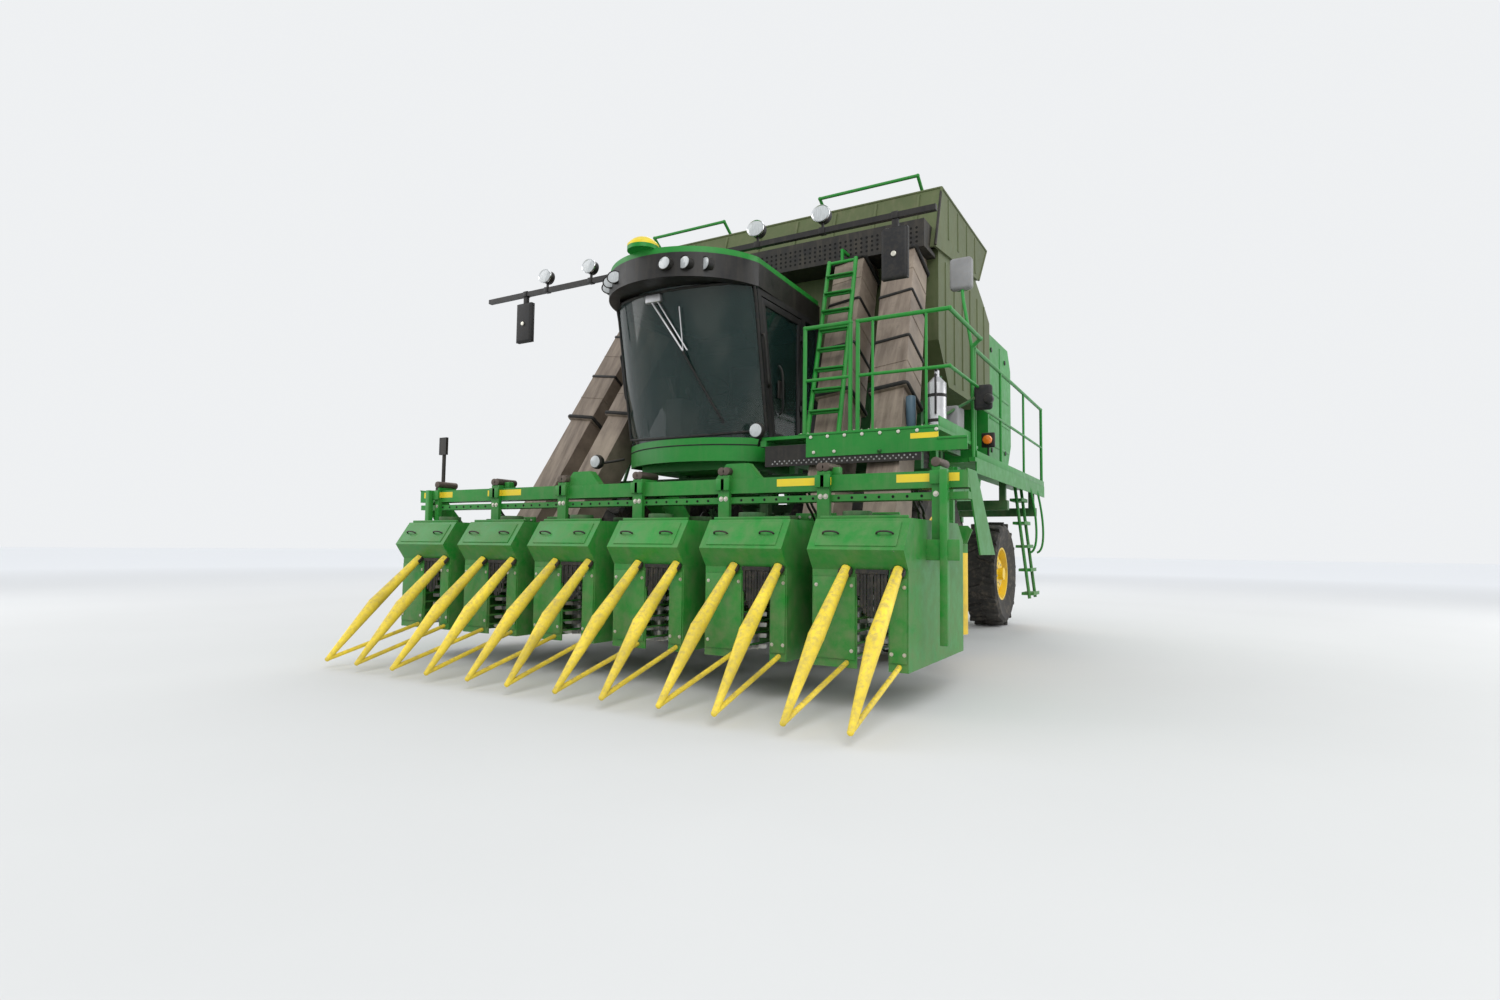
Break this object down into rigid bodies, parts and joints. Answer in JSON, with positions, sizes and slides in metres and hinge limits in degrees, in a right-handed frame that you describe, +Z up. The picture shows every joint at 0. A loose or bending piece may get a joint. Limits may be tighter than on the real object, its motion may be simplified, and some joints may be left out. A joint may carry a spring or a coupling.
{
  "type": "cotton picker machine",
  "caption": "Self-propelled cotton harvester with in-line row units, twin air ducts each side, accumulator, round module builder and glazed cab on dual front wheels.",
  "frame": {"origin": "on the ground below the middle of the machine's overall length and width", "axes": "+Z up, -Y towards the front of the machine, +X towards its left side"},
  "size_m": [5.982, 9.8209, 5.3524],
  "materials": {
    "green_paint": "gloss",
    "olive_sheet": "satin",
    "black_paint": "satin",
    "yellow_paint": "gloss",
    "yellow_plastic": "gloss",
    "grey_metal": "satin",
    "steel": "brushed",
    "chrome_rod": "polished",
    "duct_plastic": "matte",
    "tyre": "matte",
    "belt_rubber": "matte",
    "glass": "clear",
    "cab_trim": "matte",
    "amber_plastic": "gloss"
  },
  "bodies": {
    "chassis": {"main_frame": "green_paint", "front_axle": "green_paint", "rear_axle": "green_paint", "engine_block": "grey_metal", "engine_enclosure": "green_paint", "air_fans": "green_paint", "accumulator": "olive_sheet", "accumulator_hood": "olive_sheet", "upper_ducts": "duct_plastic", "cab_base": "green_paint", "cab_frame": "black_paint", "cab_glass": "glass", "cab_roof": "cab_trim", "mirror_bar": "black_paint", "receiver_dome": "yellow_plastic", "beacon": "amber_plastic", "cab_interior": "cab_trim", "front_platform": "green_paint", "side_walkway": "green_paint", "extinguisher": "grey_metal", "stalk_guards": "green_paint", "module_housing": "green_paint", "module_belts": "belt_rubber"},
    "header": {"toolbar": "green_paint", "row_cabinets": "green_paint", "stalk_lifters": "yellow_plastic", "picker_drums": "steel"},
    "ducts_left": {"lower_ducts_left": "duct_plastic"},
    "ducts_right": {"lower_ducts_right": "duct_plastic"},
    "lift_cylinders": {"lift_barrels": "black_paint"},
    "lift_pistons": {"lift_rods": "chrome_rod"},
    "door": {"cab_door": "cab_trim"},
    "front_wheels_left": {"front_tyres_left": "tyre", "front_rims_left": "yellow_paint"},
    "front_wheels_right": {"front_tyres_right": "tyre", "front_rims_right": "yellow_paint"},
    "steer_left_body": {"knuckle_left": "green_paint"},
    "steer_right_body": {"knuckle_right": "green_paint"},
    "rear_wheel_left": {"rear_tyre_left": "tyre"},
    "rear_wheel_right": {"rear_tyre_right": "tyre"},
    "tie_rod_body": {"tie_rod": "steel"},
    "gate": {"rear_gate": "green_paint"},
    "gate_cylinders": {"gate_barrels": "black_paint"},
    "gate_pistons": {"gate_rods": "chrome_rod"},
    "handler": {"module_handler": "green_paint"}
  },
  "joints": [
    {"name": "header_lift", "type": "hinge", "parent": "chassis", "child": "header", "pos_m": [0, -1.6, 0.62], "axis": [-1, 0, 0], "range_deg": [0, 10]},
    {"name": "duct_slide_left", "type": "slide", "parent": "chassis", "child": "ducts_left", "axis": [-0.1137, 0.4909, 0.8637], "range_m": [0, 0.28]},
    {"name": "duct_slide_right", "type": "slide", "parent": "chassis", "child": "ducts_right", "axis": [0.1137, 0.4909, 0.8637], "range_m": [0, 0.28]},
    {"name": "lift_cylinder_swing", "type": "hinge", "parent": "chassis", "child": "lift_cylinders", "pos_m": [0, -1.82, 1.5], "axis": [-1, 0, 0], "range_deg": [0, 5.6]},
    {"name": "lift_rod_slide", "type": "slide", "parent": "lift_cylinders", "child": "lift_pistons", "axis": [0, 0.7525, 0.6585], "range_m": [0, 0.146]},
    {"name": "cab_door_hinge", "type": "hinge", "parent": "chassis", "child": "door", "pos_m": [0.763, -1.766, 3], "axis": [0, 0, 1], "range_deg": [0, 28]},
    {"name": "front_wheels_left_spin", "type": "hinge", "parent": "chassis", "child": "front_wheels_left", "pos_m": [1.3725, -1.15, 0.95], "axis": [1, 0, 0], "continuous": true},
    {"name": "front_wheels_right_spin", "type": "hinge", "parent": "chassis", "child": "front_wheels_right", "pos_m": [-1.3725, -1.15, 0.95], "axis": [1, 0, 0], "continuous": true},
    {"name": "steer_left", "type": "hinge", "parent": "chassis", "child": "steer_left_body", "pos_m": [1.28, 2.91, 0.775], "axis": [0, 0, 1], "range_deg": [-30, 30]},
    {"name": "steer_right", "type": "hinge", "parent": "chassis", "child": "steer_right_body", "pos_m": [-1.28, 2.91, 0.775], "axis": [0, 0, 1], "range_deg": [-30, 30]},
    {"name": "rear_wheel_left_spin", "type": "hinge", "parent": "steer_left_body", "child": "rear_wheel_left", "pos_m": [1.64, 2.91, 0.775], "axis": [1, 0, 0], "continuous": true},
    {"name": "rear_wheel_right_spin", "type": "hinge", "parent": "steer_right_body", "child": "rear_wheel_right", "pos_m": [-1.64, 2.91, 0.775], "axis": [1, 0, 0], "continuous": true},
    {"name": "tie_rod_slide", "type": "slide", "parent": "chassis", "child": "tie_rod_body", "axis": [1, 0, 0], "range_m": [-0.16, 0.16]},
    {"name": "rear_gate_lift", "type": "hinge", "parent": "chassis", "child": "gate", "pos_m": [0, 2.81, 4.13], "axis": [1, 0, 0], "range_deg": [0, 65]},
    {"name": "gate_cylinder_swing", "type": "hinge", "parent": "chassis", "child": "gate_cylinders", "pos_m": [0, 1.76, 3.05], "axis": [1, 0, 0], "range_deg": [0, 16]},
    {"name": "gate_rod_slide", "type": "slide", "parent": "gate_cylinders", "child": "gate_pistons", "axis": [0, 0.9276, 0.3735], "range_m": [0, 0.5]},
    {"name": "module_handler_tilt", "type": "hinge", "parent": "chassis", "child": "handler", "pos_m": [0, 3.7, 1.08], "axis": [-1, 0, 0], "range_deg": [0, 42]}
  ],
  "couplings": [
    {"joint": "duct_slide_left", "follows": "header_lift", "m_per_rad": 1.6},
    {"joint": "duct_slide_right", "follows": "header_lift", "m_per_rad": 1.6},
    {"joint": "lift_cylinder_swing", "follows": "header_lift", "ratio": 0.55},
    {"joint": "lift_rod_slide", "follows": "header_lift", "m_per_rad": 0.8257},
    {"joint": "steer_right", "follows": "steer_left", "ratio": 1},
    {"joint": "tie_rod_slide", "follows": "steer_left", "m_per_rad": 0.3},
    {"joint": "gate_cylinder_swing", "follows": "rear_gate_lift", "ratio": 0.2375},
    {"joint": "gate_rod_slide", "follows": "rear_gate_lift", "m_per_rad": 0.4373}
  ]
}
